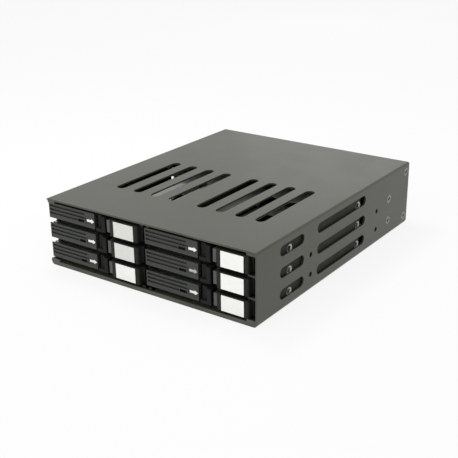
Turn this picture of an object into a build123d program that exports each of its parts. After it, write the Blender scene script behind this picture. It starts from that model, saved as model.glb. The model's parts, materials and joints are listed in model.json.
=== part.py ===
from build123d import *
import os

# Six-bay hot-swap enclosure for 2.5-inch drives, which fills one 5.25-inch half-height bay.
# Millimetres. +Z is up, the trays come out towards -Y, and the origin is under the middle of
# the whole object. A depth is measured back from the front edge of the shell. A bay's own
# pieces are drawn about the middle of their bay and then moved to it.

# Drives and their trays
drive_width = 69.85
drive_length = 100.2
drive_front = 23.3
drive_play = 0.05
drive_hole_rise = 3.0
drive_hole_rear = 14.0
drive_hole_pitch = 76.6
drive_hole_radius = 1.55
drive_hole_flare = 0.8
tray_side = 0.5
tray_floor = 0.6
tray_height = 10.4
tray_side_height = 8.5
tray_bend = 0.9
tray_start = 8.0
tray_side_end = 112.0
tray_floor_end = 120.5
tray_vents = 3
tray_vent_width = 12.0
tray_vent_length = 70.0
tray_vent_pitch = 20.0
tray_vent_middle = 68.0

# Bays
rows = 3
rail_thick = 1.45
rail_width = 5.4
rail_play = 0.1
rail_headroom = 0.45
rail_lift = 0.25
rail_post = 3.5
rail_post_gap = 1.6
side_play = 0.375
divider_web = 0.6
divider_ledge = 2.3
divider_start = 7.0
divider_stub = 2.0
divider_notch = 1.1

# Folded steel shell and its base
sheet = 1.0
top_bend = 1.25
bottom_bend = 2.25
return_flange = 6.4
head_room = 1.05
corner_flange_drop = 1.4
wall_cutback = 6.5
base_lip = 1.4
base_gap = 0.05

# Slots and holes in the shell
slot_width = 6.0
side_slot_start = 21.5
side_slot_lengths = (24.1, 56.8)
side_slot_gap = 14.2
side_slot_rise = 0.35
top_slot_length = 57.8
top_slot_middle = 65.1
top_slot_pitch = 13.1
top_slots = 4
top_slot_group = 29.8
mount_hole_radius = 1.5
mount_first = 52.9
mount_spacing = 79.25
mount_low = 10.0
mount_rise = 11.84

# Countersunk screws in the side walls
case_screw_radius = 1.45
case_head_radius = 2.6
case_screw_length = 4.0
screw_play = 0.05
bracket_screw_inset = 8.2
bracket_screw_low = 10.65
bracket_screw_rise = 14.05
panel_screw_inset = 4.5
panel_screw_low = 6.3
panel_screw_drop = 5.3
cross_width = 0.7
cross_length = 2.8
cross_depth = 0.7

# Backplane and what it carries
board_gap = 3.5
board_thick = 1.6
board_side_gap = 1.5
board_foot = 2.0
board_vent_height = 3.4
vent_margin = 4.75
receptacle_width = 42.7
receptacle_height = 5.4
receptacle_reach = 5.6
receptacle_side_gap = 0.2
receptacle_rise = -1.7
socket_reach = 8.4
socket_height = 5.2
socket_wall = 0.9
socket_tongue = 1.2
data_socket_width = 15.4
data_socket_offset = 9.6
power_socket_width = 24.8
power_socket_offset = 24.0
header_width = 7.6
header_height = 5.8
header_reach = 6.4
header_wall = 0.8
header_offset = 44.0
header_low = 7.3
header_pins = 3
header_pin_pitch = 2.0
header_pin = 0.64
standoff_radius = 2.75
standoff_length = 12.4
standoff_inner = 33.0
standoff_margin = 4.0
board_screw_radius = 1.45
board_screw_head = 2.6
board_screw_head_height = 1.2
bracket_flange = 12.0
bracket_margin = 0.3
bracket_bend = 1.5
bracket_window = 28.0
bracket_window_margin = 4.0
bracket_vent_height = 6.0

# Fans and rear panel
cable_room = 37.4
fan_headroom = 1.75
fan_thick = 10.0
fan_rim = 0.9
fan_corner = 3.0
fan_side_gap = 4.0
fan_hole_inset = 3.0
fan_hole_radius = 1.6
fan_strut = 2.0
fan_struts = 3
fan_mount_radius = 7.4
fan_mount_thick = 1.4
fan_post_radius = 1.6
fan_running_fit = 0.05
rotor_front = 0.5
rotor_gap = 0.4
rotor_hub_radius = 7.8
rotor_hub_wall = 0.9
rotor_boss_radius = 3.0
rotor_tip_gap = 0.8
blades = 7
blade_thick = 0.8
blade_root_chord = 7.6
blade_tip_chord = 11.0
blade_root_angle = 42.0
blade_tip_angle = 28.0
fan_screw_radius = 1.5
fan_screw_head = 2.75
fan_screw_head_height = 1.6
fan_screw_bevel = 0.5
fan_screw_length = 8.0
panel_flange = 9.0
panel_margin = 0.2
panel_bend = 1.3
cable_window_gap = 4.0
cable_window_height = 29.0
cable_window_radius = 3.0
guard_rings = 3
guard_bar = 1.2
guard_centre = 4.0
guard_spokes = 4
guard_spoke = 2.0

# Tray front with its label frame, light pipe and label. The insets run leftwards, the
# frame's from the right side of the tray and the label's from that of the frame.
front_rise = 5.3
front_height = 9.35
front_face = 6.2
front_end = 20.0
front_wall = 1.5
front_skin = 3.0
bezel_proud = 1.0
bezel_height = 10.0
bezel_inset = 3.35
bezel_width = 21.75
bezel_corner = 1.2
bezel_edge = 0.35
shoulder_width = 0.95
shoulder_face = 2.9
label_width = 14.1
label_height = 8.9
label_inset = 2.7
label_thick = 0.3
label_play = 0.05
pipe_width = 2.4
pipe_low = -2.95
pipe_high = 4.55
pipe_end = 7.0
pipe_play = 0.05
pipe_notch = 3.5

# Latch button, which slides away from the lever
latch_gap = 2.5
latch_width = 7.3
latch_face = 0.4
latch_height = 9.3
latch_play = 0.15
latch_travel = 2.0
latch_stem_width = 4.0
latch_stem_height = 4.0
latch_stem_length = 3.4
scoop_floor = 2.6
scoop_width = 5.0
scoop_depth = 2.2
scoop_lip = 1.9
latch_edge = 0.5

# Lever, hinged on a pin at its left end. What its right end carries is placed from there.
lever_gap = 1.5
lever_overhang = 0.9
lever_face = 1.4
lever_height = 9.3
lever_thick = 3.2
lever_knuckle = 2.4
lever_pivot_back = 2.2
lever_edge = 0.4
groove_pitch = 2.25
groove_height = 1.05
groove_depth = 1.0
groove_first = 2.95
grooves = 3
groove_long_inset = 7.7
groove_short_inset = 13.3
catch_slot_inset = 8.0
catch_slot_width = 4.8
catch_slot_height = 1.6
catch_slot_depth = 1.6
arrow_pad_inset = 0.3
arrow_pad_width = 6.8
arrow_pad_height = 3.6
arrow_pad_rise = -0.5
arrow_pad_depth = 0.35
pin_radius = 0.75
pin_fit = 0.05
ear_thick = 1.05
ear_radius = 1.45
ear_play = 0.1
ear_root = 0.5

# Worked out from the values above
tray_width = drive_width + 2 * (drive_play + tray_side)
bay_width = tray_width + 2 * side_play
bay_middle = (divider_web + bay_width) / 2
shell_width = 2 * (sheet + bay_width) + divider_web
inner_half = shell_width / 2 - sheet
bend_gap = bottom_bend - sheet
base_top = 2 * sheet
row_pitch = rail_thick + rail_play + tray_height + rail_headroom
lowest_tray = base_top + rail_lift + rail_thick + rail_play
shell_height = base_top + rail_lift + rows * row_pitch + head_room + sheet
ceiling = shell_height - sheet
flange_low = lowest_tray - rail_play
flange_high = ceiling - corner_flange_drop
drive_rear = drive_front + drive_length
board_front = drive_rear + board_gap
board_back = board_front + board_thick
board_half = inner_half - board_side_gap
board_low = base_top + board_foot
board_high = ceiling - board_foot
standoff_outer = board_half - standoff_margin
vent_width = standoff_outer - standoff_inner - 2 * vent_margin
vent_middle = (standoff_outer + standoff_inner) / 2
receptacle_offset = bay_width / 2 - rail_width - receptacle_side_gap - receptacle_width / 2
bracket_front = board_back + standoff_length
fan_front = board_back + cable_room
fan_size = ceiling - base_top - 2 * fan_headroom
fan_middle = inner_half - fan_side_gap - fan_size / 2
fan_bore = fan_size / 2 - fan_rim
fan_hole_pitch = fan_size - 2 * fan_hole_inset
rotor_tip_radius = fan_bore - rotor_tip_gap
guard_pitch = (fan_bore - guard_centre) / guard_rings
cable_window_width = 2 * (fan_middle - fan_size / 2 - cable_window_gap)
panel_front = fan_front + fan_thick
shell_depth = panel_front + sheet
middle_height = shell_height / 2
front_y = (bezel_proud - shell_depth - fan_screw_head_height) / 2
bezel_to = tray_width / 2 - bezel_inset
bezel_from = bezel_to - bezel_width
label_to = bezel_to - label_inset
label_from = label_to - label_width
latch_to = bezel_from - latch_gap
latch_from = latch_to - latch_width
lever_to = latch_from - lever_gap
lever_from = -bay_width / 2 - lever_overhang
lever_pivot = lever_from + lever_knuckle
lever_pivot_depth = lever_face + lever_pivot_back
sides = {"left": -1, "right": 1}
row_names = ("bottom", "middle", "top")


def back_at(depth):
    """Y of a point that lies this far behind the front edge of the shell."""
    return front_y + depth


def span(low, high):
    """Length and middle of the stretch between two values."""
    return high - low, (low + high) / 2


def block(across, depths, heights):
    """Box between two X values, two depths and two heights."""
    width, x = span(*across)
    length, depth = span(*depths)
    height, z = span(*heights)
    return Pos(x, back_at(depth), z) * Box(width, length, height)


def run_back(section, depths):
    """Solid of a section drawn in X and Z, run between two depths."""
    plane = Plane((0, back_at(depths[0]), 0), x_dir=(1, 0, 0), z_dir=(0, -1, 0))
    return extrude(plane * section, depths[0] - depths[1])


def run_across(section, across):
    """Solid of a section drawn in depth and Z, run between two X values."""
    plane = Plane((across[0], front_y, 0), x_dir=(0, 1, 0), z_dir=(1, 0, 0))
    return extrude(plane * section, across[1] - across[0])


def run_up(section, heights):
    """Solid of a plan drawn in X and depth, run between two heights."""
    return extrude(Plane((0, front_y, heights[0])) * section, heights[1] - heights[0])


def panel(width, low, high, low_radius, high_radius):
    """Flat shape centred on X, with one radius for its low and one for its high corners."""
    height, middle = span(low, high)
    shape = Pos(0, middle) * Rectangle(width, height)
    if high_radius:
        shape = fillet(shape.vertices().group_by(Axis.Y)[-1], high_radius)
    if low_radius:
        shape = fillet(shape.vertices().group_by(Axis.Y)[0], low_radius)
    return shape


def tray_bottom(row):
    """Height of the underside of a row's trays."""
    return lowest_tray + row * row_pitch


def row_height(row):
    """Height of the middle of a row's tray fronts."""
    return tray_bottom(row) + front_rise


def rail_heights(row):
    """Bottom and top of the rails that carry a row's trays."""
    top = tray_bottom(row) - rail_play
    return top - rail_thick, top


def shank(radius, length):
    """Plain shank of a screw that goes down from the origin."""
    return Pos(0, 0, -length / 2) * Cylinder(radius, length)


def cross_recess(face):
    """Cutter for the cross in a screw's head, whose face lies at this height."""
    arm = Pos(0, 0, face) * Box(cross_length, cross_width, 2 * cross_depth)
    return arm + Rot(0, 0, 90) * arm


def pan_head(radius, height):
    """Low round head on the origin."""
    return Pos(0, 0, height / 2) * Cylinder(radius, height)


def side_screw_places():
    """Outer end of each screw in the side walls, looking outwards."""
    bracket_depth = bracket_front + bracket_screw_inset
    panel_depth = shell_depth - panel_screw_inset
    spots = [
        (bracket_depth, bracket_screw_low),
        (bracket_depth, bracket_screw_low + bracket_screw_rise),
        (panel_depth, panel_screw_low),
        (panel_depth, shell_height - panel_screw_drop),
    ]
    return [
        Plane((side * shell_width / 2, back_at(depth), height), z_dir=(side, 0, 0)).location
        for side in sides.values()
        for depth, height in spots
    ]


def mount_spots():
    """Depth and height of the four mounting holes in each side wall."""
    return [
        (depth, height)
        for depth in (mount_first, mount_first + mount_spacing)
        for height in (mount_low, mount_low + mount_rise)
    ]


def side_slots():
    """Cutters for the slots beside each row, long enough to pass through both walls."""
    start = side_slot_start
    for length in side_slot_lengths:
        slot = SlotOverall(length, slot_width)
        for row in range(rows):
            place = Pos(start + length / 2, row_height(row) + side_slot_rise)
            yield run_across(place * slot, (-shell_width, shell_width))
        start += length + side_slot_gap


def top_slot_cutters():
    """Cutters for the two groups of slots over the trays."""
    slot = Rot(0, 0, 90) * SlotOverall(top_slot_length, slot_width)
    for side in sides.values():
        for number in range(top_slots):
            x = side * top_slot_group + (number - (top_slots - 1) / 2) * top_slot_pitch
            yield run_up(Pos(x, top_slot_middle) * slot, (ceiling - sheet, shell_height + sheet))


def outer_shell():
    """Top, sides and two folds under the base, bent from one sheet."""
    outside = panel(shell_width, 0, shell_height, bottom_bend, top_bend)
    inside = panel(2 * inner_half, sheet, ceiling, bend_gap, top_bend - sheet)
    mouth = Rectangle(shell_width - 2 * return_flange, 3 * sheet)
    shell = run_back(outside - inside - mouth, (0, shell_depth))
    corner_in = shell_width / 2 - return_flange
    for side in sides.values():
        across = sorted((side * corner_in, side * (inner_half + sheet / 2)))
        shell += block(across, (0, sheet), (flange_high, ceiling))
        shell += block(across, (0, sheet), (sheet, flange_low)) & run_back(outside, (0, sheet))
    shell -= block((-shell_width, -inner_half), (-sheet, wall_cutback), (flange_low, ceiling))
    for cutter in side_slots():
        shell -= cutter
    for cutter in top_slot_cutters():
        shell -= cutter
    for depth, height in mount_spots():
        hole = Pos(depth, height) * Circle(mount_hole_radius)
        shell -= run_across(hole, (-shell_width, shell_width))
    for place in side_screw_places():
        shell -= place * Pos(0, 0, -sheet / 2) * Cone(
            case_screw_radius + screw_play, case_head_radius + screw_play, sheet
        )
    return shell


def base_plate():
    """Flat floor that lies on the shell's folds, with a lip down at the front."""
    plate_half = inner_half - bend_gap - base_gap
    lip_half = shell_width / 2 - return_flange - base_gap
    plate = block((-plate_half, plate_half), (sheet, shell_depth), (sheet, base_top))
    return plate + block((-lip_half, lip_half), (0, sheet), (0, sheet + base_lip))


def centre_divider():
    """Wall between the two columns, with a ledge under each tray and stubs at the front."""
    rear = board_front - rail_post_gap
    wall = block((-divider_web / 2, divider_web / 2), (divider_start, rear), (base_top, ceiling))
    ledge_half = divider_web / 2 + divider_ledge
    for row in range(rows):
        wall += block((-ledge_half, ledge_half), (divider_start, rear), rail_heights(row))
    for foot in ((base_top, flange_low), (flange_high, ceiling)):
        wall += block((-ledge_half, ledge_half), (divider_start, rear), foot)
        for side in sides.values():
            across = sorted((side * divider_notch, side * (divider_notch + divider_stub)))
            wall += block(across, (sheet, divider_start + sheet), foot)
    return wall


def side_guide(side):
    """Comb of rails for one side wall, joined by a post in front of the backplane."""
    rail_end = board_front - rail_post_gap
    start = wall_cutback if side < 0 else sheet
    rail_in = inner_half - rail_width
    post = block(
        sorted((side * rail_in, side * (inner_half - bend_gap))),
        (rail_end - rail_post, rail_end),
        (base_top, ceiling),
    )
    rails = [
        block(sorted((side * rail_in, side * inner_half)), (start, rail_end), rail_heights(row))
        for row in range(rows)
    ]
    return post + rails


def vent_pair(height, middle, depths):
    """Cutters for two round-ended vents at one height, one each side of the middle."""
    vent = SlotOverall(vent_width, height)
    return [
        run_back(Pos(side * vent_middle, middle) * vent, depths) for side in sides.values()
    ]


def clear_heights():
    """Middle of each strip of the backplane that lies between two rows of receptacles."""
    return [row_height(row) + receptacle_rise + row_pitch / 2 for row in range(rows - 1)]


def standoff_spots():
    """X and height of each screw that holds the backplane."""
    return [
        (side * offset, height)
        for side in sides.values()
        for offset in (standoff_inner, standoff_outer)
        for height in clear_heights()
    ]


def backplane_board():
    """Circuit board across the back of the trays, vented between the rows."""
    depths = (board_front, board_back)
    board = block((-board_half, board_half), depths, (board_low, board_high))
    through = (board_front - board_thick, board_back + board_thick)
    for height in clear_heights():
        board -= vent_pair(board_vent_height, height, through)
    for x, height in standoff_spots():
        board -= run_back(Pos(x, height) * Circle(board_screw_radius + screw_play), through)
    return board


def facing(x, depth, height, direction, turn=0):
    """Place on the backplane whose +Z points along Y, with X as its width unless turned."""
    plane = Plane((x, back_at(depth), height), x_dir=(1, 0, 0), z_dir=(0, direction, 0))
    return plane.location * Rot(0, 0, turn)


def connector(width, height, reach, wall, tongue):
    """Open-fronted connector housing that stands on Z, with a contact tongue inside."""
    housing = Pos(0, 0, reach / 2) * Box(width, height, reach)
    housing = chamfer(housing.edges().filter_by(Axis.Z), wall / 2)
    mouth = Box(width - 2 * wall, height - 2 * wall, 2 * (reach - wall))
    blade = Pos(0, -wall / 2, reach / 2) * Box(width - 4 * wall, tongue, reach - 2 * wall)
    return housing - Pos(0, 0, reach) * mouth + blade


def drive_receptacles():
    """One connector for each drive, on the front of the backplane."""
    wall = socket_wall
    piece = connector(receptacle_width, receptacle_height, receptacle_reach, wall, socket_tongue)
    return [
        facing(
            side * bay_middle + receptacle_offset,
            board_front,
            row_height(row) + receptacle_rise,
            -1,
        )
        * piece
        for side in sides.values()
        for row in range(rows)
    ]


def data_sockets():
    """One data socket for each bay, on the back of the backplane."""
    piece = connector(data_socket_width, socket_height, socket_reach, socket_wall, socket_tongue)
    return [
        facing(side * data_socket_offset, board_back, row_height(row), 1) * piece
        for side in sides.values()
        for row in range(rows)
    ]


def power_sockets():
    """Two upright power sockets, one each side of the data sockets."""
    piece = connector(power_socket_width, socket_height, socket_reach, socket_wall, socket_tongue)
    return [
        facing(side * power_socket_offset, board_back, middle_height, 1, 90) * piece
        for side in sides.values()
    ]


def fan_headers():
    """A pin header for each fan's lead."""
    body = Pos(0, 0, header_reach / 2) * Box(header_width, header_height, header_reach)
    inner = (header_width - 2 * header_wall, header_height - 2 * header_wall, 2 * header_reach)
    body -= Pos(0, 0, header_reach + 2 * header_wall) * Box(*inner)
    for number in range(header_pins):
        x = (number - (header_pins - 1) / 2) * header_pin_pitch
        body += Pos(x, 0, header_reach / 2) * Box(header_pin, header_pin, header_reach - header_wall)
    return [
        facing(side * header_offset, board_back, header_low, 1) * body for side in sides.values()
    ]


def board_standoffs():
    """Hexagonal pillars that hold the backplane off its bracket."""
    ring = RegularPolygon(standoff_radius, 6) - Circle(board_screw_radius + screw_play)
    return [
        run_back(Pos(x, height) * ring, (board_back, bracket_front))
        for x, height in standoff_spots()
    ]


def board_screws():
    """Pan-head screws through the backplane and its standoffs."""
    length = bracket_front + sheet - board_front
    screw = shank(board_screw_radius, length) + pan_head(board_screw_head, board_screw_head_height)
    return [facing(x, board_front, height, -1) * screw for x, height in standoff_spots()]


def folded_back(half, front, flange, direction, bend, heights):
    """Upright sheet across the shell with a flange folded along each side wall."""
    length = sheet + flange
    depths = (front, front + length) if direction > 0 else (front - flange, front + sheet)
    outside = panel(2 * half, *depths, bend if direction > 0 else 0, 0 if direction > 0 else bend)
    inner = (depths[0] + sheet, depths[1] + sheet)
    if direction < 0:
        inner = (depths[0] - sheet, depths[1] - sheet)
    inside = panel(2 * (half - sheet), *inner, 0, 0)
    return run_up(outside - inside, heights)


def screw_holes(radius):
    """Cutters for the side screws, through whatever stands inside the walls."""
    return [
        place * Pos(0, 0, -case_screw_length) * Cylinder(radius, 2 * case_screw_length)
        for place in side_screw_places()
    ]


def backplane_bracket():
    """Sheet behind the backplane, open for the cables and the air, screwed to the walls."""
    heights = (base_top + bracket_margin, ceiling - bracket_margin)
    bracket = folded_back(inner_half, bracket_front, bracket_flange, 1, bracket_bend, heights)
    through = (bracket_front - sheet, bracket_front + 2 * sheet)
    window = (heights[0] + bracket_window_margin, heights[1] - bracket_window_margin)
    bracket -= block((-bracket_window, bracket_window), through, window)
    for row in range(rows):
        bracket -= vent_pair(bracket_vent_height, row_height(row), through)
    for x, height in standoff_spots():
        bracket -= run_back(Pos(x, height) * Circle(board_screw_radius + screw_play), through)
    return bracket - screw_holes(case_screw_radius + screw_play)


def guard_cutter():
    """Ring slots of a finger guard, less its spokes."""
    cutter = Sketch()
    for number in range(guard_rings):
        inner = guard_centre + number * guard_pitch
        cutter += Circle(inner + guard_pitch - guard_bar) - Circle(inner)
    for number in range(guard_spokes // 2):
        turn = 45 + number * 360 / guard_spokes
        cutter -= Rot(0, 0, turn) * Rectangle(2 * fan_bore, guard_spoke)
    return cutter


def fan_hole_spots(side):
    """X and height of the four screws that hold one fan."""
    half = fan_hole_pitch / 2
    return [
        (side * fan_middle + x, middle_height + z) for x in (-half, half) for z in (-half, half)
    ]


def rear_panel():
    """Back of the enclosure, with a finger guard for each fan and a way in for the cables."""
    heights = (base_top + panel_margin, ceiling - panel_margin)
    back = folded_back(inner_half, panel_front, panel_flange, -1, panel_bend, heights)
    through = (panel_front - sheet, shell_depth + sheet)
    window = RectangleRounded(cable_window_width, cable_window_height, cable_window_radius)
    back -= run_back(Pos(0, middle_height) * window, through)
    for side in sides.values():
        back -= run_back(Pos(side * fan_middle, middle_height) * guard_cutter(), through)
        for x, height in fan_hole_spots(side):
            back -= run_back(Pos(x, height) * Circle(fan_hole_radius), through)
    return back - screw_holes(case_screw_radius + screw_play)


def case_screws():
    """Countersunk screws that hold the bracket and the rear panel to the walls."""
    head = Pos(0, 0, -sheet / 2) * Cone(case_screw_radius, case_head_radius, sheet)
    screw = shank(case_screw_radius, case_screw_length) + head - cross_recess(0)
    return [place * screw for place in side_screw_places()]


def fan_screws():
    """Pan-head screws through the rear panel into the fans."""
    head = pan_head(fan_screw_head, fan_screw_head_height)
    head = chamfer(head.edges().group_by(Axis.Z)[-1], fan_screw_bevel)
    screw = shank(fan_screw_radius, fan_screw_length) + head - cross_recess(fan_screw_head_height)
    return [
        facing(x, shell_depth, height, 1) * screw
        for side in sides.values()
        for x, height in fan_hole_spots(side)
    ]


def fan_frame(side):
    """Square frame with a round duct, and a motor plate and shaft post on struts."""
    plate_front = fan_front + fan_thick - fan_mount_thick
    depths = (fan_front, panel_front)
    outline = RectangleRounded(fan_size, fan_size, fan_corner)
    body = run_back(outline - Circle(fan_bore), depths)
    plate = Circle(fan_mount_radius)
    for number in range(fan_struts):
        arm = Pos(fan_bore / 2 + fan_strut / 4, 0) * Rectangle(fan_bore + fan_strut / 2, fan_strut)
        plate += Rot(0, 0, 90 + number * 360 / fan_struts) * arm
    body += run_back(plate, (plate_front, panel_front))
    post_front = fan_front + rotor_front + rotor_hub_wall + rotor_gap
    body += run_back(Circle(fan_post_radius), (post_front, panel_front))
    frame = Pos(side * fan_middle, 0, middle_height) * body
    for x, height in fan_hole_spots(side):
        frame -= run_back(Pos(x, height) * Circle(fan_hole_radius), (fan_front - 1, shell_depth))
    return frame


def rotor_blade(rotor_length):
    """One twisted blade that stands out along X from the middle of the rotor."""
    inner = rotor_hub_radius - rotor_hub_wall / 2
    outer = rotor_tip_radius + blade_thick
    sections = []
    for radius, chord, angle in (
        (inner, blade_root_chord, blade_root_angle),
        (outer, blade_tip_chord, blade_tip_angle),
    ):
        plane = Plane((radius, 0, rotor_length / 2), x_dir=(0, 1, 0), z_dir=(1, 0, 0))
        sections.append(plane * Rot(0, 0, angle) * Rectangle(chord, blade_thick))
    return loft(sections)


def fan_rotor(side):
    """Hub cup that runs on the fan's post, with its ring of blades."""
    plate_front = fan_front + fan_thick - fan_mount_thick
    length = plate_front - rotor_gap - (fan_front + rotor_front)
    hub = Pos(0, 0, length / 2) * Cylinder(rotor_hub_radius, length)
    hub = chamfer(hub.edges().group_by(Axis.Z)[-1], rotor_hub_wall / 2)
    hollow_radius = rotor_hub_radius - rotor_hub_wall
    hub -= Pos(0, 0, (length - rotor_hub_wall) / 2) * Cylinder(
        hollow_radius, length - rotor_hub_wall
    )
    hub += Pos(0, 0, length / 2) * Cylinder(rotor_boss_radius, length)
    reach = Cylinder(rotor_tip_radius, 2 * length)
    inside = Cylinder(hollow_radius, 3 * length)
    for number in range(blades):
        blade = Rot(0, 0, number * 360 / blades) * rotor_blade(length)
        hub += (blade & reach) - inside
    bore = length - rotor_hub_wall
    hub -= Pos(0, 0, bore / 2) * Cylinder(fan_post_radius + fan_running_fit, bore)
    return facing(side * fan_middle, plate_front - rotor_gap, middle_height, -1) * hub


def tray():
    """Bare sheet-metal tray with low sides, vents in its floor and the drive's screw holes."""
    low = -front_rise
    high = low + tray_side_height
    inside = panel(tray_width - 2 * tray_side, low + tray_floor, high + 1, tray_bend - tray_side, 0)
    section = panel(tray_width, low, high, tray_bend, 0) - inside
    body = run_back(section, (tray_start, tray_floor_end))
    body -= block(
        (-tray_width, tray_width), (tray_side_end, tray_floor_end + 1), (low + tray_floor, high + 1)
    )
    vent = Rot(0, 0, 90) * SlotOverall(tray_vent_length, tray_vent_width)
    for number in range(tray_vents):
        x = (number - (tray_vents - 1) / 2) * tray_vent_pitch
        body -= run_up(Pos(x, tray_vent_middle) * vent, (low - 1, low + tray_floor + 1))
    height = low + tray_floor + drive_hole_rise
    rear_hole = drive_rear - drive_hole_rear
    flare = Pos(0, 0, -tray_side / 2) * Cone(
        drive_hole_radius, drive_hole_radius + drive_hole_flare, tray_side
    )
    for depth in (rear_hole, rear_hole - drive_hole_pitch):
        for side in sides.values():
            place = Plane((side * tray_width / 2, back_at(depth), height), z_dir=(side, 0, 0))
            body -= place.location * flare
    return body


def tray_front():
    """Moulded front of a tray: lever ears, latch guide and the frame round the label."""
    low = tray_floor - front_rise
    high = low + front_height
    body = run_back(panel(drive_width, low, high, tray_bend, 0), (front_face, front_end))
    for turn in (-1, 1):
        pocket = sorted((turn * front_wall / 2, turn * (drive_width / 2 - front_wall)))
        depths = (front_face + front_skin, front_end + 1)
        body -= block(pocket, depths, (low + front_wall, high - front_wall))
    shoulder = (bezel_to - 1, bezel_to + shoulder_width)
    body += block(shoulder, (shoulder_face, front_face + 1), (low, high))
    body += label_frame()
    body -= pipe_seat()
    latch_middle = (latch_from + latch_to) / 2
    guide = (
        latch_middle - latch_stem_width / 2 - latch_play,
        latch_middle + latch_stem_width / 2 + latch_travel + latch_play,
    )
    guide_half = latch_stem_height / 2 + latch_play
    body -= block(guide, (front_face - 1, front_face + front_skin + 1), (-guide_half, guide_half))
    ear = Pos(lever_pivot, lever_pivot_depth) * Circle(ear_radius)
    arm, arm_middle = span(lever_pivot_depth, front_face + ear_root)
    ear += Pos(lever_pivot, arm_middle) * Rectangle(2 * ear_radius, arm)
    ear -= Pos(lever_pivot, lever_pivot_depth) * Circle(pin_radius)
    edge = lever_height / 2
    return body + [run_up(ear, (edge - ear_thick, edge)), run_up(ear, (-edge, ear_thick - edge))]


def label_frame():
    """Raised frame with a seat for the label."""
    tall = bezel_height / 2
    plan = block((bezel_from, bezel_to), (-bezel_proud, front_face + 1), (-tall, tall))
    corner = plan.edges().filter_by(Axis.Z).group_by(Axis.Y)[0].sort_by(Axis.X)[-1]
    frame = fillet(corner, bezel_corner)
    frame = chamfer(frame.edges().group_by(Axis.Y)[0], bezel_edge)
    high = label_height / 2 + label_play
    return frame - block(
        (label_from - label_play, label_to + label_play),
        (-bezel_proud - 1, label_thick - bezel_proud),
        (-high, high),
    )


def pipe_seat():
    """Cutter for the light pipe's seat, and for the notch under its end."""
    across = (bezel_from - 1, bezel_from + pipe_width + pipe_play)
    tall = bezel_height / 2
    seat = block(across, (-2 * bezel_proud, pipe_end + pipe_play), (pipe_low - pipe_play, tall))
    return seat + block(across, (-2 * bezel_proud, pipe_notch), (-tall, pipe_low))


def light_pipe():
    """Clear strip beside the label that carries the bay's two lights to the front."""
    strip = block(
        (bezel_from, bezel_from + pipe_width), (-bezel_proud, pipe_end), (pipe_low, pipe_high)
    )
    return chamfer(strip.edges().group_by(Axis.Y)[0], bezel_edge)


def label():
    """Card that lies in the frame of a tray front."""
    high = label_height / 2
    depths = (-bezel_proud, label_thick - bezel_proud)
    return block((label_from, label_to), depths, (-high, high))


def lever_plan():
    """Lever seen from above: a flat bar with a square front corner and a round knuckle."""
    length, middle = span(lever_pivot, lever_to)
    bar = Pos(middle, lever_face + lever_thick / 2) * Rectangle(length, lever_thick)
    bar = fillet(bar.vertices().group_by(Axis.X)[-1], lever_edge)
    knuckle = Pos(lever_pivot, lever_pivot_depth) * Circle(lever_knuckle)
    corner = Pos(lever_from + lever_knuckle / 2, lever_face + lever_pivot_back / 2)
    square = fillet(
        (corner * Rectangle(lever_knuckle, lever_pivot_back)).vertices().group_by(Axis.X)[0], lever_edge
    )
    behind_face = Pos(lever_pivot, lever_face + lever_knuckle) * Rectangle(*[2 * lever_knuckle] * 2)
    return bar + square + (knuckle & behind_face)


def ear_pocket():
    """Room that an ear needs behind the lever's skin while the lever swings open."""
    room = ear_radius + ear_play + pin_fit
    reach = lever_knuckle + 1
    pocket = Pos(lever_pivot, lever_pivot_depth) * Circle(room)
    pocket += Pos(lever_pivot - reach / 2, lever_pivot_depth + (reach - room) / 2) * Rectangle(
        reach, reach + room
    )
    return pocket + Pos(lever_pivot + (room - reach) / 2, lever_pivot_depth + reach / 2) * Rectangle(
        reach + room, reach
    )


def lever():
    """Ribbed lever with a catch slot and an arrow pad, bored for its pin."""
    tall = lever_height / 2
    plan = lever_plan()
    body = run_up(plan, (-tall, tall))
    rib_ring = plan - offset(plan, -groove_depth)
    for number in range(grooves):
        inset = groove_short_inset if number == grooves - 1 else groove_long_inset
        middle = groove_first - number * groove_pitch
        heights = (middle - groove_height / 2, middle + groove_height / 2)
        front_half = (lever_face - 1, lever_pivot_depth)
        reach = block((lever_from - 1, lever_to - inset), front_half, heights)
        body -= run_up(rib_ring, heights) & reach
    catch_to = lever_to - catch_slot_inset
    catch_height = groove_first - (grooves - 1) * groove_pitch
    body -= block(
        (catch_to - catch_slot_width, catch_to),
        (lever_face - 1, lever_face + catch_slot_depth),
        (catch_height - catch_slot_height / 2, catch_height + catch_slot_height / 2),
    )
    pad_to = lever_to - arrow_pad_inset
    body -= block(
        (pad_to - arrow_pad_width, pad_to),
        (lever_face - 1, lever_face + arrow_pad_depth),
        (arrow_pad_rise - arrow_pad_height / 2, arrow_pad_rise + arrow_pad_height / 2),
    )
    cut_height = tall - ear_thick - ear_play
    body -= run_up(ear_pocket(), (cut_height, tall + 1))
    body -= run_up(ear_pocket(), (-tall - 1, -cut_height))
    bore = Pos(lever_pivot, lever_pivot_depth) * Circle(pin_radius + pin_fit)
    return body - run_up(bore, (-tall, tall))


def lever_pin():
    """Pin through the ears of a tray front and the lever's knuckle."""
    tall = lever_height / 2
    return run_up(Pos(lever_pivot, lever_pivot_depth) * Circle(pin_radius), (-tall, tall))


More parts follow.
